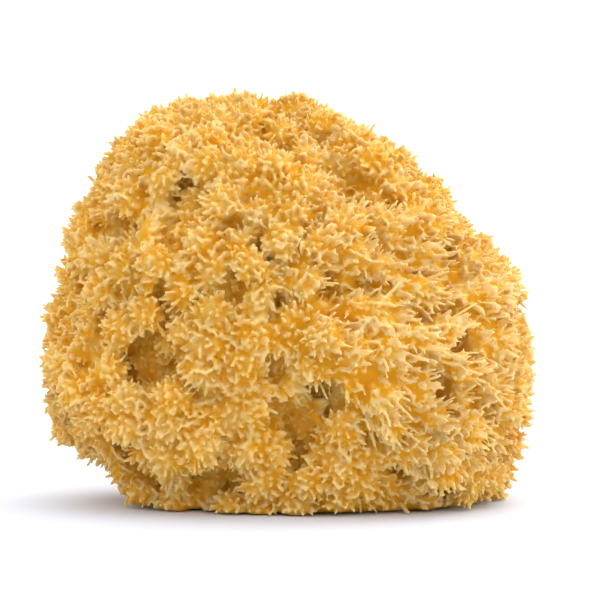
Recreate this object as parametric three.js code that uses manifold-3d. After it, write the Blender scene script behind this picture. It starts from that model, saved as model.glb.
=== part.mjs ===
// A dried natural sea wool sponge, resting on the flat cut where it was harvested from the sea bed.
// It grew as one piece: a lopsided mound, swollen into lobes, pitted with oscules (the wide holes
// through which the living animal blew its water out) and bristling all over with short tufts.
// Units are millimetres, +Z is up and -Y faces the viewer. The origin is the middle of the base.

import * as THREE from "three";
import { ConvexGeometry } from "three/addons/geometries/ConvexGeometry.js";
import { ImprovedNoise } from "three/addons/math/ImprovedNoise.js";
import { mergeVertices } from "three/addons/utils/BufferGeometryUtils.js";
import Module from "manifold-3d";

// Overall size, over the tips of the tufts.
const WIDTH = 150;
const DEPTH = 116;
const HEIGHT = 125;

// The widest level of the mound. Every part of the surface can be seen from the heart at this height.
const HEART_HEIGHT = 50;

// How far the body swells towards the viewer and away from them, before the tufts are added.
const FRONT_SWELL = 57;
const BACK_SWELL = 53;
// Below 1 the cross-section is fuller than an ellipse.
const FULLNESS = 0.88;
// The crown leans away from the viewer by this share of its height above the heart.
const BACKWARD_LEAN = 0.07;

// Outline seen from the front, through the roots of the tufts, as [x, z], anticlockwise from lower right.
// The last points lie under the floor: the base cut removes what is below zero.
const OUTLINE = [
  [63, 3], [67, 14], [69, 27], [69, 41], [69, 54], [67, 65], [61, 75], [51, 84],
  [41, 95], [31, 107], [18, 115], [2, 121], [-15, 122], [-31, 121], [-45, 115], [-55, 104],
  [-62, 91], [-65, 78], [-67, 64], [-72, 50], [-73, 37], [-68, 25], [-57, 14], [-47, 4],
  [-34, -6], [-15, -11], [15, -11], [42, -8],
];

// A hole at [x, z] on the front, and a crease between lobes that runs from one such place to another.
const pit = (x, z, halfWidth, depth) => ({ from: [x, z], to: [x, z], halfWidth, depth });
const crease = (from, to, halfWidth, depth) => ({ from, to, halfWidth, depth });

const FRONT_HOLES = [
  // Crown
  crease([-6, 112], [1, 105], 3.0, 5),
  pit(-6, 108, 3.8, 7),
  crease([9, 107], [11, 111], 2.6, 4),
  crease([14, 100], [23, 94], 4.2, 9),
  crease([23, 94], [31, 89], 2.8, 5),
  // Left shoulder
  pit(-31, 93, 4.6, 10),
  pit(-34, 82, 4.4, 11),
  pit(-42, 92, 2.6, 5),
  crease([-57, 84], [-49, 83], 3.2, 7),
  pit(-43, 72, 2.8, 6),
  pit(-48, 65, 2.6, 5),
  pit(-62, 67, 3.2, 7),
  crease([-36, 65], [-35, 56], 2.8, 7),
  // Left side, with the widest oscule of all
  pit(-42, 43, 6.4, 16),
  crease([-54, 58], [-59, 43], 2.6, 6),
  pit(-35, 52, 2.8, 5),
  pit(-52, 36, 2.8, 5),
  pit(-26, 36, 3.0, 6),
  pit(-19, 33, 2.6, 5),
  // Middle
  crease([-19, 83], [-13, 82], 2.6, 6),
  pit(-9, 90, 2.8, 7),
  crease([-8, 78], [-6, 74], 2.8, 7),
  pit(6, 83, 2.6, 4),
  pit(-25, 69, 2.8, 5),
  pit(-15, 65, 3.2, 8),
  pit(-3, 59, 3.4, 8),
  pit(12, 65, 3.6, 9),
  crease([19, 66], [26, 66], 2.4, 4),
  // Right side
  pit(26, 79, 2.6, 5),
  crease([46, 76], [49, 67], 3.4, 5),
  crease([40, 57], [48, 59], 2.6, 5),
  pit(29, 59, 2.6, 5),
  pit(50, 48, 3.8, 9),
  crease([42, 38], [44, 33], 3.2, 8),
  pit(52, 35, 2.8, 5),
  // Foot, with the branching crease in the middle
  pit(-3, 42, 3.2, 7),
  pit(-3, 29, 4.0, 9),
  pit(8, 33, 5.0, 11),
  crease([3, 27], [3, 16], 3.4, 9),
  crease([-17, 29], [-15, 21], 2.4, 4),
  crease([-47, 17], [-39, 8], 3.6, 6),
  crease([-25, 7], [-16, 8], 4.6, 9),
  pit(-19, 14, 3.0, 6),
  pit(24, 21, 3.0, 6),
  pit(31, 11, 3.4, 6),
  pit(45, 5, 4.0, 7),
];

// Oscules on the sides, the crown and the back, which are scattered. The skew makes most of them small.
const OTHER_HOLES = 46;
const OTHER_HALF_WIDTH = [2.8, 5.2];
const OTHER_SKEW = 1.5;
const DEPTH_PER_HALF_WIDTH = 2.1;
// The scatter keeps off the front, which has the holes listed above: y here is that of a unit direction.
const FRONT_LIMIT_Y = -0.42;

// A hole's lip starts to turn in at this share of its half width, and its wall drops with this power.
const LIP_SHARE = 1.35;
const WALL_POWER = 1.2;
// Each hole lies in a wide dip, this many half widths across to each side and this share of its depth.
const DIP_SHARE = 3;
const DIP_DEPTH = 0.25;

// Relief: broad lobes, the knobs that they are made of, and the tufts that stand on those.
const LOBE_SIZE = 46;
const LOBE_HEIGHT = 7;
const KNOB_SIZE = 14;
const KNOB_HEIGHT = 4;
const TUFT_HEIGHT = [1.3, 4.8];
const HOLLOW_BETWEEN_TUFTS = 1.2;
// A tuft loses this share of its height for each millimetre that it stands down a hole, so holes stay open.
const SHORTER_PER_DEPTH = 0.5;
// The relief grows outwards from the heart, turned this much more to the front and back than a plain ray.
const OUTWARD_TURN = 1.1;

// Tufts on the right of the front hang over to the right, all pushed one way, less so away from the centre.
const COMBED_CENTRE = new THREE.Vector3(34, -40, 56);
const COMBED_REACH = 44;
const COMBED_PUSH = new THREE.Vector3(2.4, 0, -0.9);

// Surface points, which set how many tufts there are. About one point in four carries a tuft.
const SURFACE_POINTS = 4700;
const SCATTER = 0.55;
const SEED = 20261;

// The outline is read off its smooth curve this many times between one listed point and the next.
const READINGS_PER_POINT = 60;

const SPONGE_COLOUR = 0xe0a94e;
const SPONGE_ROUGHNESS = 0.92;

const noise = new ImprovedNoise();
const random = () => THREE.MathUtils.seededRandom();
const between = ([low, high], share) => THREE.MathUtils.lerp(low, high, share);

// Smooth noise from about -1 to 1, for features of a given size. The shift keeps layers apart.
function relief(point, size, shift) {
  return noise.noise(point.x / size + shift, point.y / size - shift, point.z / size + 2 * shift);
}

// The outline as the distance from the heart at each whole degree, read from a smooth closed curve.
function outlineReaches() {
  const points = OUTLINE.map(([x, z]) => new THREE.Vector2(x, z - HEART_HEIGHT));
  const curve = new THREE.SplineCurve([...points, points[0]]);
  const steps = READINGS_PER_POINT * OUTLINE.length;
  const reaches = new Array(360).fill(0);
  for (let i = 0; i <= steps; i++) {
    const at = curve.getPoint(i / steps);
    const degree = Math.round(THREE.MathUtils.radToDeg(at.angle())) % 360;
    reaches[degree] = Math.max(reaches[degree], at.length());
  }
  return reaches;
}

const REACHES = outlineReaches();

function reachAt(angle) {
  const degrees = THREE.MathUtils.euclideanModulo(THREE.MathUtils.radToDeg(angle), 360);
  const low = Math.floor(degrees) % 360;
  return THREE.MathUtils.lerp(REACHES[low], REACHES[(low + 1) % 360], degrees - Math.floor(degrees));
}

// The plain body, with no relief: the outline swollen towards the front and the back.
function bodyPoint(direction) {
  const flat = Math.hypot(direction.x, direction.z);
  const reach = reachAt(Math.atan2(direction.z, direction.x)) * flat ** FULLNESS;
  const swell = direction.y < 0 ? FRONT_SWELL : BACK_SWELL;
  const scale = flat > 0 ? reach / flat : 0;
  const z = direction.z * scale;
  const y = Math.sign(direction.y) * swell * Math.abs(direction.y) ** FULLNESS;
  return new THREE.Vector3(direction.x * scale, y + BACKWARD_LEAN * Math.max(z, 0), z + HEART_HEIGHT);
}

// The place on the front of the plain body that is seen at [x, z].
function frontPoint([x, z]) {
  const up = z - HEART_HEIGHT;
  const share = Math.min(Math.hypot(x, up) / reachAt(Math.atan2(up, x)), 1) ** (1 / FULLNESS);
  const y = -FRONT_SWELL * Math.sqrt(1 - share * share) ** FULLNESS;
  return new THREE.Vector3(x, y + BACKWARD_LEAN * Math.max(up, 0), z);
}

// Points spread evenly over a unit sphere along a spiral, each shaken out of its place.
function scatteredDirections(count) {
  const golden = Math.PI * (3 - Math.sqrt(5));
  const shake = SCATTER * Math.sqrt((4 * Math.PI) / count);
  return Array.from({ length: count }, (_, i) => {
    const z = 1 - (2 * i + 1) / count;
    const ring = Math.sqrt(1 - z * z);
    const place = new THREE.Vector3(ring * Math.cos(golden * i), ring * Math.sin(golden * i), z);
    const push = new THREE.Vector3(random() - 0.5, random() - 0.5, random() - 0.5);
    return place.addScaledVector(push, shake).normalize();
  });
}

function frontHoles() {
  return FRONT_HOLES.map(({ from, to, halfWidth, depth }) => ({
    line: new THREE.Line3(frontPoint(from), frontPoint(to)),
    halfWidth,
    depth,
  }));
}

function otherHoles() {
  const holes = [];
  while (holes.length < OTHER_HOLES) {
    const direction = new THREE.Vector3().setFromSphericalCoords(
      1,
      Math.acos(2 * random() - 1),
      2 * Math.PI * random(),
    );
    if (direction.y < FRONT_LIMIT_Y) continue;
    const halfWidth = between(OTHER_HALF_WIDTH, random() ** OTHER_SKEW);
    const place = bodyPoint(direction);
    holes.push({
      line: new THREE.Line3(place, place.clone()),
      halfWidth,
      depth: DEPTH_PER_HALF_WIDTH * halfWidth,
    });
  }
  return holes;
}

// How deep the holes sink the surface at a place on the plain body. The walls are steep, the floor round.
function holeDepthAt(place, holes) {
  const nearest = new THREE.Vector3();
  let deepest = 0;
  for (const { line, halfWidth, depth } of holes) {
    line.closestPointToPoint(place, true, nearest);
    const reach = nearest.distanceTo(place) / halfWidth;
    const wall = Math.max(0, 1 - (reach / LIP_SHARE) ** 2) ** WALL_POWER;
    const dip = DIP_DEPTH * Math.max(0, 1 - (reach / DIP_SHARE) ** 2) ** 2;
    deepest = Math.max(deepest, depth * Math.max(wall, dip));
  }
  return deepest;
}

// A tuft stands on each point that has no neighbour with a tuft yet, so that hollows surround every tuft.
function tuftedPoints(index, count) {
  const neighbours = Array.from({ length: count }, () => new Set());
  for (let i = 0; i < index.length; i += 3) {
    const corners = [index[i], index[i + 1], index[i + 2]];
    for (const a of corners) for (const b of corners) if (a !== b) neighbours[a].add(b);
  }
  const tufted = new Array(count).fill(false);
  for (let i = 0; i < count; i++) {
    tufted[i] = ![...neighbours[i]].some((n) => tufted[n]);
  }
  return tufted;
}

// The outward way at a place: between straight away from the heart and square to the plain body.
function outwardAt(direction) {
  return direction.clone().setY(direction.y * OUTWARD_TURN).normalize();
}

function surfacePoint(direction, tufted, holes) {
  const place = bodyPoint(direction);
  const outward = outwardAt(direction);
  // The outline already has its lobes at the rim, so the broad relief is strongest on the front and back.
  const lobes = LOBE_HEIGHT * relief(place, LOBE_SIZE, 3.7) * Math.abs(direction.y);
  const knobs = KNOB_HEIGHT * relief(place, KNOB_SIZE, 9.1);
  const hole = holeDepthAt(place, holes);
  const room = 1 / (1 + SHORTER_PER_DEPTH * hole);
  const tuft = tufted ? between(TUFT_HEIGHT, random()) * room : -HOLLOW_BETWEEN_TUFTS * random();
  const combed = Math.max(0, 1 - place.distanceTo(COMBED_CENTRE) / COMBED_REACH);
  place.addScaledVector(outward, lobes + knobs - hole + tuft);
  return tufted ? place.addScaledVector(COMBED_PUSH, combed * room) : place;
}

// The closed skin of the whole sponge, before its base is cut.
function tuftedSkin() {
  const hull = new ConvexGeometry(scatteredDirections(SURFACE_POINTS));
  hull.deleteAttribute("normal");
  const skin = mergeVertices(hull, 1e-5);
  const positions = skin.getAttribute("position");
  const tufted = tuftedPoints(skin.index.array, positions.count);
  const holes = [...frontHoles(), ...otherHoles()];
  const direction = new THREE.Vector3();
  for (let i = 0; i < positions.count; i++) {
    direction.fromBufferAttribute(positions, i).normalize();
    positions.setXYZ(i, ...surfacePoint(direction, tufted[i], holes).toArray());
  }
  return skin;
}

// Joins and cuts are made on closed solids.
const wasm = await Module();
wasm.setup();

function solidFrom(geometry) {
  const bare = geometry.clone();
  for (const name of Object.keys(bare.attributes)) if (name !== "position") bare.deleteAttribute(name);
  const merged = mergeVertices(bare, 1e-4);
  return new wasm.Manifold(
    new wasm.Mesh({
      numProp: 3,
      vertProperties: new Float32Array(merged.getAttribute("position").array),
      triVerts: new Uint32Array(merged.index.array),
    }),
  );
}

function geometryFrom(solid) {
  const mesh = solid.getMesh();
  const geometry = new THREE.BufferGeometry();
  geometry.setAttribute("position", new THREE.BufferAttribute(mesh.vertProperties, 3));
  geometry.setIndex(new THREE.BufferAttribute(mesh.triVerts, 1));
  return geometry;
}

// Slices off everything below the floor, as the knife does that frees the sponge from its rock.
function cutBase(geometry) {
  const waste = new THREE.BoxGeometry(3 * WIDTH, 3 * DEPTH, HEIGHT).translate(0, 0, -HEIGHT / 2);
  return geometryFrom(solidFrom(geometry).subtract(solidFrom(waste)));
}

// Sets the finished body to its stated size, with the origin under its middle.
function fitted(geometry) {
  geometry.computeBoundingBox();
  const size = geometry.boundingBox.getSize(new THREE.Vector3());
  const centre = geometry.boundingBox.getCenter(new THREE.Vector3());
  geometry.translate(-centre.x, -centre.y, -geometry.boundingBox.min.z);
  geometry.scale(WIDTH / size.x, DEPTH / size.y, HEIGHT / size.z);
  return geometry;
}

function makeSponge() {
  THREE.MathUtils.seededRandom(SEED);
  const geometry = fitted(cutBase(tuftedSkin()));
  geometry.computeVertexNormals();
  const material = new THREE.MeshStandardMaterial({
    color: SPONGE_COLOUR,
    roughness: SPONGE_ROUGHNESS,
    metalness: 0,
    flatShading: true,
  });
  const mesh = new THREE.Mesh(geometry, material);
  mesh.name = "sponge";
  return mesh;
}

const sponge = new THREE.Group();
sponge.add(makeSponge());

export default sponge;
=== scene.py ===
"""Dresses a dried natural sea wool sponge, which stands on the flat cut where it was harvested.

The sponge is one growth. Its body swells into lobes, opens into pits and is studded all over with
knobs. Out of each knob grows a clump of tufts, soft fingers of felted fibre that fork at their tips.
The body and its pile of tufts are grown together here, and stand in place of the plain solid.

Lengths are in metres, written as millimetres times MM. +Z is up and -Y faces the camera.
"""

import itertools
import logging
import math
from dataclasses import dataclass, field
from enum import Enum

import bmesh
import bpy
import numpy as np
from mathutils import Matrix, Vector
from mathutils.bvhtree import BVHTree
from mathutils.kdtree import KDTree


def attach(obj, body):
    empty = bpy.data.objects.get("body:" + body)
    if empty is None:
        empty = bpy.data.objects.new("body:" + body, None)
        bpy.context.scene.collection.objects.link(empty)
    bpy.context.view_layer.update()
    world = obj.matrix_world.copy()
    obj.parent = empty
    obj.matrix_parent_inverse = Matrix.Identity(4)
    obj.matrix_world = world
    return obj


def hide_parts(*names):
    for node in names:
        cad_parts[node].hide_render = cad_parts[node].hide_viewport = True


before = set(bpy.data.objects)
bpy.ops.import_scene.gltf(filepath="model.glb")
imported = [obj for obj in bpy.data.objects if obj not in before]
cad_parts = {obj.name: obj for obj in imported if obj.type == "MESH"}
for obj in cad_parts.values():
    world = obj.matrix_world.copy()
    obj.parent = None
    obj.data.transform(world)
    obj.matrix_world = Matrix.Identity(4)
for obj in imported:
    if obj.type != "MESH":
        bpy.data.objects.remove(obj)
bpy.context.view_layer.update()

MM = 0.001
log = logging.getLogger("sponge")


def linear(hex_colour: str) -> tuple[float, float, float, float]:
    """Turns an sRGB hex colour into the linear colour that a shader reads.

    Args:
        hex_colour: six hex digits after a hash sign.

    Returns:
        Red, green, blue and an alpha of 1.
    """
    shares = [int(hex_colour[i : i + 2], 16) / 255 for i in (1, 3, 5)]
    levels = [s / 12.92 if s <= 0.04045 else ((s + 0.055) / 1.055) ** 2.4 for s in shares]
    return (levels[0], levels[1], levels[2], 1.0)


def unit(rows: np.ndarray) -> np.ndarray:
    """Returns the rows of an array as vectors of length 1."""
    return rows / np.maximum(np.linalg.norm(rows, axis=1, keepdims=True), 1e-12)


def ease(share: np.ndarray) -> np.ndarray:
    """Returns shares kept between 0 and 1, with a gentle start and end."""
    kept = np.clip(share, 0, 1)
    return kept * kept * (3 - 2 * kept)


@dataclass(frozen=True)
class Swell:
    """A smooth random field of unit spread, summed from plane waves that run in random directions."""

    wavelength: float
    seed: int
    waves: int = 28

    def at(self, places: np.ndarray) -> np.ndarray:
        """Reads the field.

        Args:
            places: one point to a row.

        Returns:
            One value to a point, mostly between -2 and 2.
        """
        rng = np.random.default_rng(self.seed)
        stretch = rng.uniform(0.7, 1.3, (self.waves, 1))
        ways = unit(rng.normal(size=(self.waves, 3))) * stretch * (2 * math.pi / self.wavelength)
        phases = rng.uniform(0, 2 * math.pi, self.waves)
        return np.cos(places @ ways.T + phases).sum(axis=1) * math.sqrt(2 / self.waves)


@dataclass
class Skin:
    """A surface read into arrays, to scatter things over."""

    places: np.ndarray
    normals: np.ndarray
    triangles: np.ndarray

    @classmethod
    def of(cls, bm: bmesh.types.BMesh) -> "Skin":
        """Reads a bmesh, with its faces taken as triangles.

        Args:
            bm: the surface.

        Returns:
            Its points, their normals and its triangles.
        """
        bm.normal_update()
        bm.verts.index_update()
        places = np.array([v.co for v in bm.verts])
        normals = np.array([v.normal for v in bm.verts])
        loops = bm.calc_loop_triangles()
        return cls(places, normals, np.array([[c.vert.index for c in loop] for loop in loops]))

    def scatter(
        self, spacing: float, tries: int, rng: np.random.Generator
    ) -> tuple[np.ndarray, np.ndarray]:
        """Drops points on the surface at random and keeps those that lie clear of each other.

        Args:
            spacing: the least distance between two points.
            tries: how many points are dropped.
            rng: the source of the random draws.

        Returns:
            The points kept, and the surface's normals there.
        """
        corners = self.places[self.triangles]
        one_side, other_side = corners[:, 1] - corners[:, 0], corners[:, 2] - corners[:, 0]
        areas = np.linalg.norm(np.cross(one_side, other_side), axis=1)
        picked = rng.choice(len(areas), size=tries, p=areas / areas.sum())
        first, second = rng.random((2, tries, 1))
        outside = first + second > 1
        first, second = np.where(outside, 1 - first, first), np.where(outside, 1 - second, second)
        weights = np.stack([1 - first - second, first, second], axis=1)
        dropped = (corners[picked] * weights).sum(axis=1)
        normals = unit((self.normals[self.triangles[picked]] * weights).sum(axis=1))
        kept = self._apart(dropped, spacing)
        return dropped[kept], normals[kept]

    @staticmethod
    def _apart(dropped: np.ndarray, spacing: float) -> list[int]:
        """Picks points in order, leaving out each that is too near one picked before.

        Args:
            dropped: the points.
            spacing: the least distance.

        Returns:
            The indices of the points picked.
        """
        cells: dict[tuple[int, int, int], list[int]] = {}
        kept: list[int] = []
        near = [(i, j, k) for i in (-1, 0, 1) for j in (-1, 0, 1) for k in (-1, 0, 1)]
        limit = spacing * spacing
        rows = dropped.tolist()
        homes = np.floor(dropped / spacing).astype(int).tolist()
        for index, (cell, place) in enumerate(zip(homes, rows)):
            around = (cells.get((cell[0] + i, cell[1] + j, cell[2] + k), ()) for i, j, k in near)
            others = (rows[other] for members in around for other in members)
            if all(sum((a - b) ** 2 for a, b in zip(place, other)) >= limit for other in others):
                cells.setdefault(tuple(cell), []).append(index)
                kept.append(index)
        return kept


def tree_of(places: np.ndarray) -> KDTree:
    """Returns a search tree over points."""
    tree = KDTree(len(places))
    for index, place in enumerate(places):
        tree.insert(place, index)
    tree.balance()
    return tree


def nearest(tree: KDTree, places: np.ndarray) -> tuple[np.ndarray, np.ndarray]:
    """Finds the point of a tree that lies nearest to each place.

    Args:
        tree: the points to search.
        places: one place to a row.

    Returns:
        The index of each nearest point and the distance to it.
    """
    found = [tree.find(place) for place in places]
    return np.array([f[1] for f in found]), np.array([f[2] for f in found])


def welded(node: bpy.types.Object) -> bmesh.types.BMesh:
    """Copies a solid's mesh, which is loose triangles, and joins its points.

    Args:
        node: the plain solid.

    Returns:
        Its surface in one piece.
    """
    bm = bmesh.new()
    bm.from_mesh(node.data)
    bmesh.ops.remove_doubles(bm, verts=bm.verts, dist=0.01 * MM)
    return bm


def remeshed(
    bm: bmesh.types.BMesh, voxel: float, calm: float = 0.0, share: float = 1.0
) -> bmesh.types.BMesh:
    """Fuses what overlaps in a mesh, and gives it even faces.

    Args:
        bm: the mesh, freed here.
        voxel: the length of a face's side.
        calm: how strongly the new mesh is smoothed, from 0 to 1.
        share: the share of its triangles that are kept, which go where it bends most.

    Returns:
        The new mesh.
    """
    mesh = bpy.data.meshes.new("source")
    bm.to_mesh(mesh)
    bm.free()
    source = bpy.data.objects.new("source", mesh)
    bpy.context.scene.collection.objects.link(source)
    even = source.modifiers.new("even", "REMESH")
    even.mode = "VOXEL"
    even.voxel_size = voxel
    if calm > 0:
        soft = source.modifiers.new("soft", "SMOOTH")
        soft.factor = calm
        soft.iterations = 1
    if share < 1:
        thin = source.modifiers.new("thin", "DECIMATE")
        thin.ratio = share
    evaluated = source.evaluated_get(bpy.context.evaluated_depsgraph_get())
    result = bmesh.new()
    result.from_mesh(evaluated.to_mesh())
    evaluated.to_mesh_clear()
    bpy.data.objects.remove(source)
    bpy.data.meshes.remove(mesh)
    return result


def add_node(
    tree: bpy.types.NodeTree,
    kind: str,
    settings: dict[str, object] | None = None,
    inputs: dict[str | int, object] | None = None,
) -> bpy.types.Node:
    """Adds a shader node, sets it up and links what feeds it.

    Args:
        tree: the material's node tree.
        kind: the node's type name.
        settings: property names and their values.
        inputs: socket names or numbers, each with a value or with the output socket that feeds it.

    Returns:
        The node.
    """
    node = tree.nodes.new(kind)
    for name, value in (settings or {}).items():
        setattr(node, name, value)
    for name, value in (inputs or {}).items():
        if isinstance(value, bpy.types.NodeSocket):
            tree.links.new(value, node.inputs[name])
        else:
            node.inputs[name].default_value = value
    return node


@dataclass(frozen=True)
class SpongeFibre:
    """Spongin, the protein fibre that a natural sponge keeps, bleached and dried.

    The fibre is horny and half clear. Where the pile is deep, light that has passed through many
    fibres comes back amber. At the frayed tips it scatters straight back, so they look pale and dry.
    The base colour paints this light in: amber low in the pile as painted glow and shade, pale at the
    tips as painted light. Light also spreads through the tufts, so that the gaps between them glow and
    are never black. The colours go by how far up its tuft a place is, and are lower where shade is
    painted: the stops are shares of the tuft's length.
    """

    name: str
    # The stops paint the pile's light: amber painted shade and glow at the root, pale at the tip.
    root_colour: str = "#d8981e"
    middle_colour: str = "#ddae4c"
    upper_colour: str = "#debc74"
    tip_colour: str = "#dec389"
    root_stop: float = 0.05
    middle_stop: float = 0.26
    upper_stop: float = 0.52
    tip_stop: float = 1.0
    mottle_size: float = 9 * MM
    mottle_reach: float = 0.14
    fibre_size: float = 0.45 * MM
    fibre_height: float = 0.24 * MM
    bump: float = 0.9
    roughness: float = 0.92
    ior: float = 1.5
    specular: float = 0.06
    glow: float = 0.8
    glow_reach: float = 1.4 * MM
    glow_spread: tuple[float, float, float] = (1.0, 0.7, 0.35)

    def material(self) -> bpy.types.Material:
        """Returns the material, which reads how far up a tuft it is, with painted shade, from an attribute.
        """
        made = bpy.data.materials.new(self.name)
        made.use_nodes = True
        tree = made.node_tree
        tree.nodes.clear()
        place = add_node(tree, "ShaderNodeTexCoord").outputs["Object"]
        fibres = add_node(
            tree,
            "ShaderNodeTexNoise",
            inputs={"Vector": place, "Scale": 1 / self.fibre_size, "Detail": 2.0, "Roughness": 0.6},
        )
        bump = add_node(
            tree,
            "ShaderNodeBump",
            inputs={
                "Height": fibres.outputs["Fac"],
                "Distance": self.fibre_height,
                "Strength": self.bump,
            },
        )
        shader = add_node(
            tree,
            "ShaderNodeBsdfPrincipled",
            inputs={
                "Base Color": self._colour(tree, place),
                "Roughness": self.roughness,
                "IOR": self.ior,
                "Specular IOR Level": self.specular,
                "Subsurface Weight": self.glow,
                "Subsurface Radius": self.glow_spread,
                "Subsurface Scale": self.glow_reach,
                "Normal": bump.outputs["Normal"],
            },
        )
        add_node(tree, "ShaderNodeOutputMaterial", inputs={"Surface": shader.outputs["BSDF"]})
        return made

    def _colour(self, tree: bpy.types.NodeTree, place: bpy.types.NodeSocket) -> bpy.types.NodeSocket:
        """Adds the nodes that colour the fibre from amber roots to pale tips, as painted shade and light, a
        little unevenly.

        Args:
            tree: the material's node tree.
            place: the socket that gives the place in metres.

        Returns:
            The socket that gives the colour.
        """
        rise_and_shade = add_node(tree, "ShaderNodeAttribute", {"attribute_name": "rise_and_shade"}).outputs["Fac"]
        tint = add_node(tree, "ShaderNodeAttribute", {"attribute_name": "tint"}).outputs["Fac"]
        mottle = add_node(
            tree,
            "ShaderNodeTexNoise",
            inputs={"Vector": place, "Scale": 1 / self.mottle_size, "Detail": 3.0},
        )
        uneven = add_node(
            tree,
            "ShaderNodeMapRange",
            inputs={
                "Value": mottle.outputs["Fac"],
                "From Min": 0.3,
                "From Max": 0.7,
                "To Min": -self.mottle_reach,
                "To Max": self.mottle_reach,
            },
        )
        # How far up the pile a place is, with its painted shade, made a little uneven.
        height = add_node(
            tree, "ShaderNodeMath", {"operation": "ADD"}, {0: rise_and_shade, 1: uneven.outputs["Result"]}
        )
        ramp = add_node(tree, "ShaderNodeValToRGB", inputs={"Fac": height.outputs["Value"]})
        stops = ramp.color_ramp.elements
        stops[0].position, stops[0].color = self.root_stop, linear(self.root_colour)
        stops[1].position, stops[1].color = self.tip_stop, linear(self.tip_colour)
        stops.new(self.middle_stop).color = linear(self.middle_colour)
        stops.new(self.upper_stop).color = linear(self.upper_colour)
        tone = add_node(
            tree, "ShaderNodeHueSaturation", inputs={"Color": ramp.outputs["Color"], "Value": tint}
        )
        return tone.outputs["Color"]


@dataclass(frozen=True)
class Oscule:
    """A hole that the living sponge blew its water out of, or a crease between two lobes.

    Its place is given as x and z on the front of the sponge, in millimetres. A crease runs from one
    place to another, and a round hole starts and ends at one. Its wall and the shallow dip round it
    reach out in half widths, and it leaves the far side of the sponge alone.
    """

    start: tuple[float, float]
    end: tuple[float, float]
    half_width: float
    depth: float
    wall_reach: float = 1.35
    wall_power: float = 1.2
    dip_reach: float = 2.6
    dip_share: float = 0.2
    longest_axis: float = 30 * MM

    def sink(self, skin: Skin, search: BVHTree) -> np.ndarray:
        """Works out how deep the hole sinks each point of a surface.

        Args:
            skin: the surface.
            search: a search tree over the same surface.

        Returns:
            One depth to a point.
        """
        ahead = Vector((0, 1, 0))
        ends = [search.ray_cast(Vector((x * MM, -1, z * MM)), ahead) for x, z in (self.start, self.end)]
        first, second = (np.array(found[0]) for found in ends)
        axis = unit(np.array([ends[0][1]]) + np.array([ends[1][1]]))[0]
        run = second - first
        share = np.clip((skin.places - first) @ run / max(run @ run, 1e-12), 0, 1)[:, None]
        away = skin.places - first - share * run
        down = away @ axis
        reach = np.linalg.norm(away - down[:, None] * axis, axis=1) / (self.half_width * MM)
        wall = np.maximum(1 - (reach / self.wall_reach) ** 2, 0) ** self.wall_power
        dip = self.dip_share * np.maximum(1 - (reach / self.dip_reach) ** 2, 0) ** 2
        near = np.abs(down) < self.longest_axis
        return np.where(near, np.maximum(wall, dip), 0) * self.depth * MM


def pit(x: float, z: float, half_width: float, depth: float) -> Oscule:
    """Returns a round hole."""
    return Oscule((x, z), (x, z), half_width, depth)


FRONT_OSCULES = [
    # Crown
    Oscule((-6, 112), (1, 105), 3.0, 5),
    pit(-6, 108, 3.8, 7),
    Oscule((9, 107), (11, 111), 2.6, 4),
    Oscule((14, 100), (23, 94), 4.2, 7),
    Oscule((23, 94), (31, 89), 2.8, 5),
    # Left shoulder
    pit(-31, 93, 4.6, 10),
    pit(-34, 82, 4.4, 11),
    pit(-42, 92, 2.6, 5),
    Oscule((-57, 84), (-49, 83), 3.2, 7),
    pit(-43, 72, 2.8, 6),
    pit(-48, 65, 2.6, 5),
    pit(-62, 67, 3.2, 7),
    Oscule((-36, 65), (-35, 56), 2.8, 7),
    # Left side, with the widest oscule of all
    pit(-42, 43, 6.4, 16),
    Oscule((-54, 58), (-59, 43), 2.6, 6),
    pit(-35, 52, 2.8, 5),
    pit(-52, 36, 2.8, 5),
    pit(-26, 36, 3.0, 6),
    pit(-19, 33, 2.6, 5),
    # Middle
    Oscule((-19, 83), (-13, 82), 2.6, 6),
    pit(-9, 90, 2.8, 7),
    Oscule((-8, 78), (-6, 74), 2.8, 7),
    pit(6, 83, 2.6, 4),
    pit(-25, 69, 2.8, 5),
    pit(-15, 65, 3.2, 8),
    pit(-3, 59, 3.4, 8),
    pit(12, 65, 3.6, 9),
    Oscule((19, 66), (26, 66), 2.4, 4),
    # Right side
    pit(26, 79, 2.6, 5),
    Oscule((46, 76), (49, 67), 3.4, 5),
    Oscule((40, 57), (48, 59), 2.6, 5),
    pit(29, 59, 2.6, 5),
    pit(50, 48, 3.8, 9),
    Oscule((42, 38), (44, 33), 3.2, 8),
    pit(52, 35, 2.8, 5),
    # Foot, with the branching crease in the middle
    pit(-3, 42, 3.2, 7),
    pit(-3, 29, 4.0, 9),
    pit(8, 33, 5.0, 11),
    Oscule((3, 27), (3, 16), 3.4, 9),
    Oscule((-17, 29), (-15, 21), 2.4, 4),
    Oscule((-47, 17), (-39, 8), 3.6, 6),
    Oscule((-25, 7), (-16, 8), 4.6, 9),
    pit(-19, 14, 3.0, 6),
    pit(24, 21, 3.0, 6),
    pit(31, 11, 3.4, 6),
    pit(45, 5, 4.0, 7),
]


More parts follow.
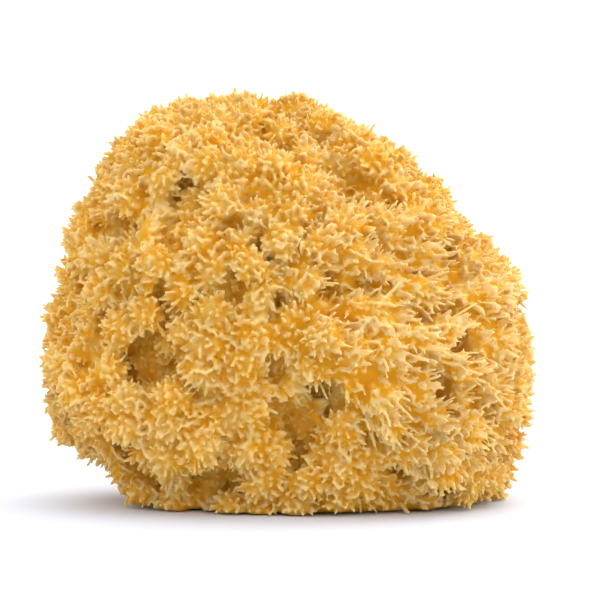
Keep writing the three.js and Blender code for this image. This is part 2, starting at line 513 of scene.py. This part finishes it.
@dataclass
class SpongeBody:
    """The body under the pile: the solid's lobes and pits, with a knob under each clump of tufts.

    The solid's own coarse tufts are smoothed away first. Its pits are what lies below a much smoother
    envelope of it, and the oscules of the front are sunk into it too. Its cut underside stays flat.
    """

    voxel: float = 1.5 * MM
    calm_rounds: int = 16
    envelope_rounds: int = 70
    last_rounds: int = 2
    smooth_factor: float = 0.5
    inset: float = 1.9 * MM
    pit_start: float = 0.5 * MM
    pit_gain: float = 1.0
    oscule_gain: float = 0.6
    knob_spacing: float = 8.4 * MM
    knob_tries: int = 9000
    knob_radius: float = 5.8 * MM
    knob_height: float = 3.6 * MM
    knob_spread: tuple[float, float] = (0.6, 1.2)
    base_gap: float = 0.3 * MM
    flat_normal: float = -0.95
    inset_fade: float = 0.5
    knob_fade: float = 0.4
    seed: int = 11
    skin: Skin = field(init=False)
    knobs: np.ndarray = field(init=False)
    knob_normals: np.ndarray = field(init=False)
    depths: np.ndarray = field(init=False)

    def build(self) -> bmesh.types.BMesh:
        """Builds the body, and keeps its skin, its knobs and the depth of its pits for the tufts.

        Returns:
            The body's surface.
        """
        bm = remeshed(welded(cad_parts["sponge"]), self.voxel)
        self._calm(bm, self.calm_rounds)
        calm = Skin.of(bm)
        search = BVHTree.FromBMesh(bm)
        oscules = np.max([oscule.sink(calm, search) for oscule in FRONT_OSCULES], axis=0)
        self._calm(bm, self.envelope_rounds)
        envelope = Skin.of(bm)
        dents = ((envelope.places - calm.places) * envelope.normals).sum(axis=1)
        dents = self.pit_gain * np.maximum(dents - self.pit_start, 0)
        self.depths = np.maximum(self.oscule_gain * oscules, dents)
        upward = ease((calm.normals[:, 2] - self.flat_normal) / self.inset_fade)
        self._place(bm, calm.places - calm.normals * (self.inset * upward + self.depths)[:, None])
        self._calm(bm, self.last_rounds)
        self._raise_knobs(bm)
        self.skin = Skin.of(bm)
        return bm

    def _calm(self, bm: bmesh.types.BMesh, rounds: int) -> None:
        """Smooths the mesh.

        Args:
            bm: the mesh, changed in place.
            rounds: how often it is smoothed.
        """
        for _ in range(rounds):
            bmesh.ops.smooth_vert(
                bm,
                verts=bm.verts,
                factor=self.smooth_factor,
                use_axis_x=True,
                use_axis_y=True,
                use_axis_z=True,
            )

    def _place(self, bm: bmesh.types.BMesh, places: np.ndarray) -> None:
        """Moves every point of the mesh, and keeps them off the floor.

        Args:
            bm: the mesh, changed in place.
            places: one new place for each of its points, in order.
        """
        for vert, place in zip(bm.verts, places.tolist()):
            vert.co = (place[0], place[1], max(place[2], self.base_gap))

    def _raise_knobs(self, bm: bmesh.types.BMesh) -> None:
        """Swells the surface into knobs, and keeps where they are for the tufts.

        Args:
            bm: the mesh, changed in place.
        """
        skin = Skin.of(bm)
        rng = np.random.default_rng(self.seed)
        self.knobs, self.knob_normals = skin.scatter(self.knob_spacing, self.knob_tries, rng)
        knob, distance = nearest(tree_of(self.knobs), skin.places)
        sizes = rng.uniform(*self.knob_spread, len(self.knobs))
        dome = np.maximum(1 - (distance / self.knob_radius) ** 2, 0) * sizes[knob]
        upward = ease((skin.normals[:, 2] - self.flat_normal) / self.knob_fade)
        self._place(bm, skin.places + skin.normals * (self.knob_height * dome * upward)[:, None])
        log.info("the body has %d knobs", len(self.knobs))


def write_attribute(mesh: bpy.types.Mesh, name: str, values: np.ndarray) -> None:
    """Stores one number at each point of a mesh.

    Args:
        mesh: the mesh.
        name: the attribute's name.
        values: one number to a point.
    """
    attribute = mesh.attributes.new(name, "FLOAT", "POINT")
    attribute.data.foreach_set("value", np.ascontiguousarray(values, np.float32))


class TuftKind(Enum):
    """The forms that a tuft takes."""

    PLUME = 0
    FORKED = 1
    STRAND = 2


@dataclass(frozen=True)
class TuftForm:
    """The measures of one kind of tuft, in shares of its length and of its radius.

    rings holds the height and radius of each ring of its stem, from the root up. Its twigs are short
    blunt fingers that fork off the stem. Where each starts, how long it is and how far it leans out are
    drawn between two limits.
    """

    sides: int
    rings: tuple[tuple[float, float], ...]
    twigs: int
    twig_radius: float
    twig_foot: tuple[float, float]
    twig_length: tuple[float, float]
    twig_spread: tuple[float, float]


TUFT_FORMS = {
    TuftKind.PLUME: TuftForm(
        sides=6,
        rings=((0, 1.4), (0.35, 1.05), (0.7, 1.05), (0.93, 0.9)),
        twigs=2,
        twig_radius=0.55,
        twig_foot=(0.45, 0.6),
        twig_length=(0.28, 0.36),
        twig_spread=(0.4, 0.9),
    ),
    TuftKind.FORKED: TuftForm(
        sides=6,
        rings=((0, 1.4), (0.35, 1.0), (0.6, 0.95), (0.82, 0.85)),
        twigs=3,
        twig_radius=0.56,
        twig_foot=(0.42, 0.6),
        twig_length=(0.34, 0.42),
        twig_spread=(0.6, 1.1),
    ),
    TuftKind.STRAND: TuftForm(
        sides=6,
        rings=((0, 1.3), (0.34, 1.0), (0.66, 1.0), (0.9, 0.8)),
        twigs=2,
        twig_radius=0.55,
        twig_foot=(0.62, 0.82),
        twig_length=(0.14, 0.2),
        twig_spread=(0.4, 0.8),
    ),
}


@dataclass
class Cast:
    """Closed forms as arrays: their points, and the point numbers of one triangle to a row."""

    places: np.ndarray
    triangles: np.ndarray

    @classmethod
    def of(cls, bm: bmesh.types.BMesh) -> "Cast":
        """Reads a bmesh.

        Args:
            bm: the form, freed here.

        Returns:
            The form, with its faces turned outwards and cut into triangles.
        """
        bmesh.ops.recalc_face_normals(bm, faces=bm.faces)
        bmesh.ops.triangulate(bm, faces=bm.faces)
        bm.verts.index_update()
        places = np.array([v.co for v in bm.verts])
        triangles = np.array([[loop.vert.index for loop in face.loops] for face in bm.faces])
        bm.free()
        return cls(places, triangles)


@dataclass
class TuftShape:
    """One tuft as a unit form: x and y are shares of its radius, z is the share of its length."""

    kind: TuftKind
    seed: int
    unevenness: float = 0.22
    twig_sides: int = 4
    twig_start: float = 0.3
    twig_taper: float = 0.55
    twig_stagger: float = 0.3
    cast: Cast = field(init=False)

    def __post_init__(self) -> None:
        """Builds the form."""
        form = TUFT_FORMS[self.kind]
        rng = np.random.default_rng(self.seed)
        bm = bmesh.new()
        self._stem(bm, form, rng)
        for index in range(form.twigs):
            self._twig(bm, form, index, rng)
        self.cast = Cast.of(bm)

    def _stem(self, bm: bmesh.types.BMesh, form: TuftForm, rng: np.random.Generator) -> None:
        """Adds the stem, a closed spike that stands along +Z, with rings of uneven points.

        Args:
            bm: the mesh that it is added to.
            form: the measures of the tuft.
            rng: the source of the random draws.
        """
        bmesh.ops.create_cone(bm, cap_ends=True, segments=form.sides, radius1=1, radius2=1, depth=1)
        bmesh.ops.translate(bm, verts=bm.verts, vec=(0, 0, 0.5))
        upright = [e for e in bm.edges if abs(e.verts[0].co.z - e.verts[1].co.z) > 0.5]
        bands = len(form.rings) - 1
        bmesh.ops.subdivide_edges(bm, edges=upright, cuts=bands - 1)
        lid = next(f for f in bm.faces if all(v.co.z > 0.99 for v in f.verts))
        for vert in bm.verts:
            height, radius = form.rings[round(vert.co.z * bands)]
            swell = radius * rng.uniform(1 - self.unevenness, 1 + self.unevenness)
            vert.co = (vert.co.x * swell, vert.co.y * swell, height)
        tip = bmesh.ops.poke(bm, faces=[lid])["verts"][0]
        tip.co = (0, 0, 1)

    def _twig(
        self, bm: bmesh.types.BMesh, form: TuftForm, index: int, rng: np.random.Generator
    ) -> None:
        """Adds a twig, a short blunt finger that leans out of the stem.

        Args:
            bm: the mesh that it is added to.
            form: the measures of the tuft.
            index: the twig's number, which sets where it stands round the stem.
            rng: the source of the random draws.
        """
        start = len(bm.verts)
        bmesh.ops.create_cone(
            bm,
            cap_ends=True,
            segments=self.twig_sides,
            radius1=form.twig_radius,
            radius2=self.twig_taper * form.twig_radius,
            depth=1,
        )
        bm.verts.ensure_lookup_table()
        verts = bm.verts[start:]
        bmesh.ops.translate(bm, verts=verts, vec=(0, 0, 0.5))
        shift = rng.uniform(-self.twig_stagger, self.twig_stagger)
        turn = (index + shift) * 2 * math.pi / form.twigs
        limits = (form.twig_foot, form.twig_length, form.twig_spread)
        foot, length, spread = (rng.uniform(*pair) for pair in limits)
        for vert in verts:
            out = vert.co.x + self.twig_start + spread * vert.co.z
            across = vert.co.y
            vert.co = (
                out * math.cos(turn) - across * math.sin(turn),
                out * math.sin(turn) + across * math.cos(turn),
                foot + length * vert.co.z,
            )


@dataclass
class Pile:
    """The tufts that cover the body, in clumps that splay out of its knobs.

    Towards the rim of a clump they are shorter, and in a pit more so. They are also coloured darker
    there, which is painted shade in the crevices between clumps and in the pits. On the right of the
    front they are combed: there they are long, wavy strands that lie along the sponge. Spreads are the
    limits or the width of a random draw, and shares are of the tuft's own length, radius or colour.
    """

    spacing: float = 1.4 * MM
    tries: int = 150000
    underside_normal: float = -0.8
    underside_height: float = 2 * MM
    floor_gap: float = 0.25 * MM
    seed: int = 5

    # Size
    length: float = 2.9 * MM
    length_spread: tuple[float, float] = (0.78, 1.22)
    crown_length: float = 1.08
    rim_shortening: float = 0.28
    rim_reach: float = 0.62
    radius: float = 0.52 * MM
    radius_spread: tuple[float, float] = (0.82, 1.2)
    root_below: float = 1.2 * MM

    # Direction
    splay_depth: float = 8.0 * MM
    upright: float = 0.5
    lean: float = 0.2
    bend: float = 0.14

    # Kinds
    forked_share: float = 0.4
    strand_share: float = 0.8
    strand_start: float = 0.4

    # Combed strands
    comb_centre: tuple[float, float, float] = (38 * MM, -38 * MM, 52 * MM)
    comb_reach: float = 52 * MM
    comb_fade: float = 1.25
    comb_way: tuple[float, float, float] = (1.0, -0.1, -0.15)
    comb_lift: float = 0.42
    comb_hold: float = 0.8
    comb_flattening: float = 0.3
    comb_thinning: float = 0.25
    comb_stretch: float = 0.95
    comb_stretch_spread: tuple[float, float] = (0.3, 1.3)
    comb_swell: float = 0.12
    clump_turn: float = 0.45
    strand_turn: float = 0.22
    curl: float = 0.16

    # Pits
    pit_depth: float = 4 * MM
    pit_shortening: float = 0.35
    pit_thinning: float = 0.15

    # Colour: random tone, and painted shade at the rims of clumps and in pits
    rim_painted_shade: float = 0.36
    pit_painted_shade: float = 0.5
    pit_painted_dimming: float = 0.1
    tint_spread: float = 0.05
    patch_tint: float = 0.035
    patch: Swell = Swell(26 * MM, 3)
    tint_limits: tuple[float, float] = (0.8, 1.15)

    def grow(self, body: SpongeBody) -> "Tufts":
        """Grows the pile.

        Args:
            body: the body that it stands on.

        Returns:
            The tufts.
        """
        rng = np.random.default_rng(self.seed)
        roots, normals = body.skin.scatter(self.spacing, self.tries, rng)
        kept = rng.random(len(roots)) >= self.comb_thinning * self._combed(roots)
        roots, normals = roots[kept], normals[kept]
        on_show = (normals[:, 2] > self.underside_normal) | (roots[:, 2] > self.underside_height)
        roots, normals = roots[on_show], normals[on_show]
        log.info("the pile has %d tufts", len(roots))
        return self._tufts(body, roots, normals, rng)

    def _combed(self, roots: np.ndarray) -> np.ndarray:
        """Returns how strongly the tufts are combed, from 0 to 1, at each place."""
        away = np.linalg.norm(roots - np.array(self.comb_centre), axis=1)
        return ease(self.comb_fade * (1 - away / self.comb_reach))

    def _tufts(
        self,
        body: SpongeBody,
        roots: np.ndarray,
        normals: np.ndarray,
        rng: np.random.Generator,
    ) -> "Tufts":
        """Works out how each tuft grows.

        Args:
            body: the body that they stand on.
            roots: where they stand.
            normals: the body's normals there.
            rng: the source of the random draws.

        Returns:
            The tufts.
        """
        count = len(roots)
        knob, from_knob = nearest(tree_of(body.knobs), roots)
        vertex, _ = nearest(tree_of(body.skin.places), roots)
        pit = ease(body.depths[vertex] / self.pit_depth)
        comb = self._combed(roots)
        rim = ease(from_knob / (self.rim_reach * body.knob_spacing))

        heart = body.knobs[knob] - body.knob_normals[knob] * self.splay_depth
        ways = self._ways(roots, heart, normals, comb, knob, len(body.knobs), rng)
        lengths = self.length * (self.crown_length - self.rim_shortening * rim)
        lengths = lengths * (1 + self.comb_stretch * comb * rng.uniform(*self.comb_stretch_spread, count))
        lengths *= rng.uniform(*self.length_spread, count) * (1 - self.pit_shortening * pit)
        radii = self.radius * (1 + self.comb_swell * comb)
        radii *= rng.uniform(*self.radius_spread, count) * (1 - self.pit_thinning * pit)
        bends = (self.bend + self.curl * comb)[:, None] * rng.normal(size=(count, 3))
        lowest = -(roots[:, 2] - self.floor_gap - radii) / lengths
        ways[:, 2] = np.maximum(ways[:, 2], lowest)
        ways = unit(ways)
        tints = 1 + self.tint_spread * rng.normal(size=count) + self.patch_tint * self.patch.at(roots)
        kinds = np.where(
            rng.random(count) < self.forked_share, TuftKind.FORKED.value, TuftKind.PLUME.value
        )
        strands = (comb > self.strand_start) & (rng.random(count) < self.strand_share)
        kinds[strands] = TuftKind.STRAND.value
        broad = np.where(strands[:, None], normals, rng.normal(size=(count, 3)))
        return Tufts(
            roots=roots - normals * self.root_below,
            ways=ways,
            sides=unit(np.cross(broad, ways)),
            bends=bends,
            lengths=lengths + self.root_below,
            radii=radii,
            flatness=1 - self.comb_flattening * comb,
            # Tufts in pits and at the rims of clumps are coloured darker: painted shade.
            tints=np.clip(tints, *self.tint_limits) * (1 - self.pit_painted_dimming * pit),
            painted_shades=(1 - self.pit_painted_shade * pit) * (1 - self.rim_painted_shade * rim * (1 - comb)),
            kinds=kinds,
            owners=knob,
            floor=self.floor_gap,
        )

    def _ways(
        self,
        roots: np.ndarray,
        hearts: np.ndarray,
        normals: np.ndarray,
        comb: np.ndarray,
        knob: np.ndarray,
        knobs: int,
        rng: np.random.Generator,
    ) -> np.ndarray:
        """Works out which way each tuft grows: out of the heart of its clump, or along the sponge.

        Args:
            roots: where the tufts stand.
            hearts: the point inside the body that each tuft's clump splays from.
            normals: the body's normals where they stand.
            comb: how strongly each is combed.
            knob: the number of the knob that each stands on.
            knobs: how many knobs there are.
            rng: the source of the random draws.

        Returns:
            One direction to a tuft.
        """
        count = len(roots)
        strays = self.lean * rng.normal(size=(count, 3))
        splayed = unit(unit(roots - hearts) + self.upright * normals + strays)
        turns = self.clump_turn * rng.normal(size=knobs)[knob] + self.strand_turn * rng.normal(size=count)
        flow = self._flow(normals, turns)
        return unit(splayed * (1 - self.comb_hold * comb)[:, None] + comb[:, None] * flow)

    def _flow(self, normals: np.ndarray, turns: np.ndarray) -> np.ndarray:
        """Works out which way the combed tufts lie: to the right and a little off the surface.

        Args:
            normals: the body's normals where the tufts stand.
            turns: how far each turns aside from that, in radians.

        Returns:
            One direction to a tuft.
        """
        way = unit(np.array([self.comb_way]))[0]
        across = unit(np.cross(normals, way))
        lying = way * np.cos(turns)[:, None] + across * np.sin(turns)[:, None]
        return unit(lying + self.comb_lift * normals)


@dataclass
class Tufts:
    """A set of tufts, as arrays with one row to a tuft.

    A tuft grows from its root along its way and bends aside further up. side is its broad direction,
    and across that it is flattened. Its painted shade darkens its colours towards the root colour, and
    its tint is their brightness, with painted shade in pits too. Its owner is the number of its knob.
    """

    roots: np.ndarray
    ways: np.ndarray
    sides: np.ndarray
    bends: np.ndarray
    lengths: np.ndarray
    radii: np.ndarray
    flatness: np.ndarray
    tints: np.ndarray
    painted_shades: np.ndarray
    kinds: np.ndarray
    owners: np.ndarray
    floor: float

    def cast(
        self, chosen: np.ndarray, shapes: list[TuftShape]
    ) -> tuple[Cast, np.ndarray, np.ndarray]:
        """Works out the meshes of some of the tufts.

        Args:
            chosen: which tufts, as one truth value to a tuft.
            shapes: the unit forms, in the order of the kinds' numbers, with the same number for each.

        Returns:
            The tufts, and for each of their points how far up its tuft it is, lowered by painted shade, and
            how bright it is.
        """
        places, triangles, rises_and_shades, tints = [], [], [], []
        per_kind = len(shapes) // len(TuftKind)
        shape_of = self.kinds * per_kind + np.arange(len(self.roots)) % per_kind
        offset = 0
        for index, shape in enumerate(shapes):
            form = shape.cast
            here = np.flatnonzero(chosen & (shape_of == index))
            points = len(form.places)
            starts = offset + points * np.arange(len(here))
            places.append(self._placed(here, form.places).reshape(-1, 3))
            triangles.append((form.triangles[None] + starts[:, None, None]).reshape(-1, 3))
            heights = np.clip(form.places[:, 2], 0, 1)
            # How far up its tuft each point is, lowered by the tuft's painted shade.
            rises_and_shades.append((heights[None] * self.painted_shades[here, None]).ravel())
            tints.append(np.repeat(self.tints[here], points))
            offset += points * len(here)
        whole = Cast(np.concatenate(places), np.concatenate(triangles))
        return whole, np.concatenate(rises_and_shades), np.concatenate(tints)

    def _placed(self, here: np.ndarray, form: np.ndarray) -> np.ndarray:
        """Bends a unit form into each of some tufts.

        Args:
            here: the indices of the tufts.
            form: the unit form's points.

        Returns:
            The points of each tuft, as an array of tufts by points by three.
        """
        ways, first = self.ways[here], self.sides[here]
        second = np.cross(ways, first) * self.flatness[here, None]
        up = form[None, :, 2:3]
        lengths = self.lengths[here, None, None]
        radii = self.radii[here, None, None]
        spine = self.roots[here, None] + lengths * (ways[:, None] * up + self.bends[here, None] * up**2)
        moved = spine + radii * (first[:, None] * form[None, :, 0:1] + second[:, None] * form[None, :, 1:2])
        moved[..., 2] = np.maximum(moved[..., 2], self.floor)
        return moved


def mesh_from_arrays(name: str, places: np.ndarray, faces: np.ndarray) -> bpy.types.Mesh:
    """Makes a mesh of many small things that were worked out as arrays.

    Args:
        name: the mesh's name.
        places: its points.
        faces: the point numbers of one face to a row.

    Returns:
        The mesh.
    """
    mesh = bpy.data.meshes.new(name)
    mesh.vertices.add(len(places))
    mesh.vertices.foreach_set("co", places.astype(np.float32).ravel())
    mesh.loops.add(faces.size)
    mesh.loops.foreach_set("vertex_index", faces.astype(np.int32).ravel())
    mesh.polygons.add(len(faces))
    mesh.polygons.foreach_set("loop_start", np.arange(0, faces.size, faces.shape[1], dtype=np.int32))
    mesh.update(calc_edges=True)
    return mesh


@dataclass
class Fleece:
    """The surface of the sponge: its body and tufts grown together, as their fibres are in life.

    It is too fine for one mesh, so it is parted like an orange, in eight wedges that meet at the heart.
    Each wedge keeps its own tufts whole, and its body reaches a little way under its neighbours. voxel
    is the size of the finest form that survives the fusing, and share is the share of the triangles
    that are then kept.
    """

    body: SpongeBody
    voxel: float = 0.46 * MM
    calm: float = 0.3
    share: float = 0.4
    heart: tuple[float, float, float] = (0.0, 0.0, 50 * MM)
    parting: tuple[float, float, float] = (4 * MM, 0.0, 62 * MM)
    wall_depth: float = 4 * MM
    # How much lighter the body is painted towards a knob's crown; between the knobs it keeps the root
    # colour as painted shade.
    knob_crown_lightening: float = 0.34
    body_tint: float = 0.95
    floor_gap: float = 0.2 * MM
    skin_tree: KDTree = field(init=False)

    def build(
        self, tufts: Tufts, shapes: list[TuftShape], surface: bmesh.types.BMesh
    ) -> list[bpy.types.Object]:
        """Makes the wedges.

        Args:
            tufts: the tufts.
            shapes: the unit forms of the tufts.
            surface: the body's surface, freed here.

        Returns:
            The wedges, with the attributes that colour them: how far up the pile a place is, with painted
            shade, and its tint.
        """
        places = np.array([v.co for v in surface.verts])
        knob, crown = nearest(tree_of(self.body.knobs), places)
        # The body takes the root colour, painted shade between the knobs, and is painted lighter towards
        # each crown.
        rises_and_shades = self.knob_crown_lightening * ease(1 - crown / self.body.knob_radius)
        body_tints = np.full(len(places), self.body_tint)
        beyond = self.body.knobs > np.array(self.parting)
        core = bpy.data.meshes.new("core")
        surface.to_mesh(core)
        surface.free()
        self.skin_tree = tree_of(self.body.skin.places)
        wedges = []
        for right, back, high in itertools.product((0, 1), repeat=3):
            words = (("foot", "crown")[high], ("front", "back")[back], ("left", "right")[right])
            mine = (beyond == [right, back, high]).all(axis=1)
            pile, pile_rises_and_shades, pile_tints = tufts.cast(mine[tufts.owners], shapes)
            fused = self._fused(core, mine[knob], pile)
            sources = tree_of(np.concatenate([places, pile.places]))
            source, _ = nearest(sources, np.array([v.co for v in fused.verts]))
            wedge = self._finished("_".join(words), fused)
            write_attribute(wedge.data, "rise_and_shade", np.concatenate([rises_and_shades, pile_rises_and_shades])[source])
            write_attribute(wedge.data, "tint", np.concatenate([body_tints, pile_tints])[source])
            wedges.append(wedge)
        bpy.data.meshes.remove(core)
        return wedges

    @staticmethod
    def _finished(name: str, fused: bmesh.types.BMesh) -> bpy.types.Object:
        """Makes an object of a wedge.

        Args:
            name: the object's name.
            fused: the wedge, freed here.

        Returns:
            The object, with smooth faces.
        """
        mesh = bpy.data.meshes.new(name)
        for face in fused.faces:
            face.smooth = True
        fused.to_mesh(mesh)
        fused.free()
        wedge = bpy.data.objects.new(name, mesh)
        bpy.context.scene.collection.objects.link(wedge)
        return wedge

    def _fused(self, core: bpy.types.Mesh, mine: np.ndarray, pile: Cast) -> bmesh.types.BMesh:
        """Fuses the tufts of a wedge with its part of the body.

        Args:
            core: the whole body.
            mine: which of the body's points belong to the wedge.
            pile: the tufts.

        Returns:
            The closed wedge.
        """
        bm = bmesh.new()
        bm.from_mesh(core)
        bm.verts.ensure_lookup_table()
        kept = {face for index in np.flatnonzero(mine).tolist() for face in bm.verts[index].link_faces}
        bmesh.ops.delete(bm, geom=[face for face in bm.faces if face not in kept], context="FACES")
        self._close(bm)
        mesh = mesh_from_arrays("pile", pile.places, pile.triangles)
        bm.from_mesh(mesh)
        bpy.data.meshes.remove(mesh)
        fused = remeshed(bm, self.voxel, self.calm, self.share)
        self._cut_walls(fused)
        self._keep_shell(fused)
        self._close(fused)
        for vert in fused.verts:
            vert.co.z = max(vert.co.z, self.floor_gap)
        return fused

    def _cut_walls(self, bm: bmesh.types.BMesh) -> None:
        """Removes the deep part of a wedge's walls, whose fine faces would never be seen.

        Args:
            bm: the fused wedge, changed in place.
        """
        spots = np.array([v.co for v in bm.verts])
        spot, _ = nearest(self.skin_tree, spots)
        skin = self.body.skin
        above = ((spots - skin.places[spot]) * skin.normals[spot]).sum(axis=1)
        bm.verts.ensure_lookup_table()
        deep = [bm.verts[index] for index in np.flatnonzero(above < -self.wall_depth).tolist()]
        bmesh.ops.delete(bm, geom=deep, context="VERTS")

    def _close(self, bm: bmesh.types.BMesh) -> None:
        """Closes a shell with flat walls from its rim to the heart of the sponge.

        Args:
            bm: the shell, changed in place.
        """
        sides = [edge.link_loops[0] for edge in bm.edges if edge.is_boundary]
        rim = [(side.link_loop_next.vert, side.vert) for side in sides]
        heart = bm.verts.new(self.heart)
        for first, second in rim:
            bm.faces.new((first, second, heart))

    @staticmethod
    def _keep_shell(bm: bmesh.types.BMesh) -> None:
        """Removes all but the largest joined part: closed hollows, and specks that came loose.

        Args:
            bm: the mesh, changed in place.
        """
        unseen = set(bm.verts)
        shell: set[bmesh.types.BMVert] = set()
        while unseen:
            waiting = [unseen.pop()]
            part = set(waiting)
            while waiting:
                around = {vert for edge in waiting.pop().link_edges for vert in edge.verts} & unseen
                unseen -= around
                part |= around
                waiting.extend(around)
            shell = max(shell, part, key=len)
        bmesh.ops.delete(bm, geom=[v for v in bm.verts if v not in shell], context="VERTS")


@dataclass
class Sponge:
    """The whole sponge: its body and its pile of tufts."""

    body: SpongeBody = field(default_factory=SpongeBody)
    pile: Pile = field(default_factory=Pile)
    shapes_per_kind: int = 5

    def build(self) -> list[bpy.types.Object]:
        """Builds the sponge, dresses it and sets it on the CAD body.

        Returns:
            The pieces.
        """
        surface = self.body.build()
        shapes = [
            TuftShape(kind, seed=20 * kind.value + number)
            for kind in TuftKind
            for number in range(self.shapes_per_kind)
        ]
        tufts = self.pile.grow(self.body)
        pieces = Fleece(self.body).build(tufts, shapes, surface)
        self._dress(pieces)
        return pieces

    def _dress(self, pieces: list[bpy.types.Object]) -> None:
        """Gives the pieces their finish and the body that they ride on.

        Args:
            pieces: the wedges of the sponge.
        """
        fibre = SpongeFibre("dried_bleached_spongin_fibre").material()
        for piece in pieces:
            piece.data.materials.append(fibre)
            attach(piece, "root")
            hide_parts("sponge")
            piece.data.calc_loop_triangles()
            log.info("%s: %d triangles", piece.name, len(piece.data.loop_triangles))


@dataclass
class Studio:
    """A pale floor, soft light from above and to the right, and the camera at the photograph's angle."""

    frame_width: float = 180 * MM
    lens: float = 120.0
    sensor: float = 36.0
    elevation: float = math.radians(1.0)
    aim: tuple[float, float, float] = (3.9 * MM, 0.0, 60.5 * MM)
    floor_radius: float = 4.0
    floor_sides: int = 96
    floor_colour: str = "#e0e4ec"
    floor_roughness: float = 0.9
    floor_specular: float = 0.1
    sky_colour: str = "#fbfbff"
    sky_strength: float = 1.24
    sky_slope: float = 0.9
    sky_side: tuple[float, float, float] = (0.58, 0.18, 0.8)
    key_place: tuple[float, float, float] = (0.5, 0.2, 0.72)
    key_size: float = 1.0
    key_power: float = 1.6
    key_colour: str = "#fffaf0"

    def build(self) -> None:
        """Builds the floor, the lights and the camera."""
        self._floor()
        self._sky()
        self._key()
        self._camera()

    def _floor(self) -> None:
        """Lays the floor, a disc of matt white paper that isn't part of the sponge."""
        bm = bmesh.new()
        bmesh.ops.create_circle(bm, cap_ends=True, segments=self.floor_sides, radius=self.floor_radius)
        mesh = bpy.data.meshes.new("floor")
        bm.to_mesh(mesh)
        bm.free()
        floor = bpy.data.objects.new("floor", mesh)
        bpy.context.scene.collection.objects.link(floor)
        paper = bpy.data.materials.new("matt_white_paper")
        paper.use_nodes = True
        shader = paper.node_tree.nodes["Principled BSDF"]
        shader.inputs["Base Color"].default_value = linear(self.floor_colour)
        shader.inputs["Roughness"].default_value = self.floor_roughness
        shader.inputs["Specular IOR Level"].default_value = self.floor_specular
        mesh.materials.append(paper)

    def _sky(self) -> None:
        """Surrounds the scene with soft white light, which is strongest on one side."""
        world = bpy.data.worlds.new("sky")
        world.use_nodes = True
        tree = world.node_tree
        way = add_node(tree, "ShaderNodeTexCoord").outputs["Generated"]
        side = add_node(
            tree, "ShaderNodeVectorMath", {"operation": "DOT_PRODUCT"}, {0: way, 1: self.sky_side}
        ).outputs["Value"]
        strength = add_node(
            tree,
            "ShaderNodeMath",
            {"operation": "MULTIPLY_ADD"},
            {0: side, 1: self.sky_slope, 2: self.sky_strength},
        ).outputs["Value"]
        background = tree.nodes["Background"]
        background.inputs["Color"].default_value = linear(self.sky_colour)
        tree.links.new(strength, background.inputs["Strength"])
        bpy.context.scene.world = world

    def _key(self) -> None:
        """Hangs the key light, a large soft square that points at the sponge."""
        lamp = bpy.data.lights.new("key", "AREA")
        lamp.size = self.key_size
        lamp.energy = self.key_power
        lamp.color = linear(self.key_colour)[:3]
        holder = bpy.data.objects.new("key", lamp)
        bpy.context.scene.collection.objects.link(holder)
        holder.location = self.key_place
        holder.rotation_mode = "QUATERNION"
        towards = Vector(self.aim) - Vector(self.key_place)
        holder.rotation_quaternion = towards.to_track_quat("-Z", "Y")

    def _camera(self) -> None:
        """Sets the camera, a long lens just above the level of the sponge's middle."""
        camera = bpy.data.cameras.new("camera")
        camera.sensor_width = self.sensor
        camera.lens = self.lens
        holder = bpy.data.objects.new("camera", camera)
        bpy.context.scene.collection.objects.link(holder)
        distance = self.frame_width * self.lens / self.sensor
        back = Vector((0, -math.cos(self.elevation), math.sin(self.elevation)))
        holder.location = Vector(self.aim) + distance * back
        holder.rotation_mode = "QUATERNION"
        holder.rotation_quaternion = (-back).to_track_quat("-Z", "Y")
        bpy.context.scene.camera = holder


def main() -> None:
    """Builds the sponge and the studio round it."""
    logging.basicConfig(level=logging.INFO, format="%(name)s: %(message)s")
    bpy.context.scene.view_settings.view_transform = "Standard"
    Sponge().build()
    Studio().build()


if __name__ == "__main__":
    main()
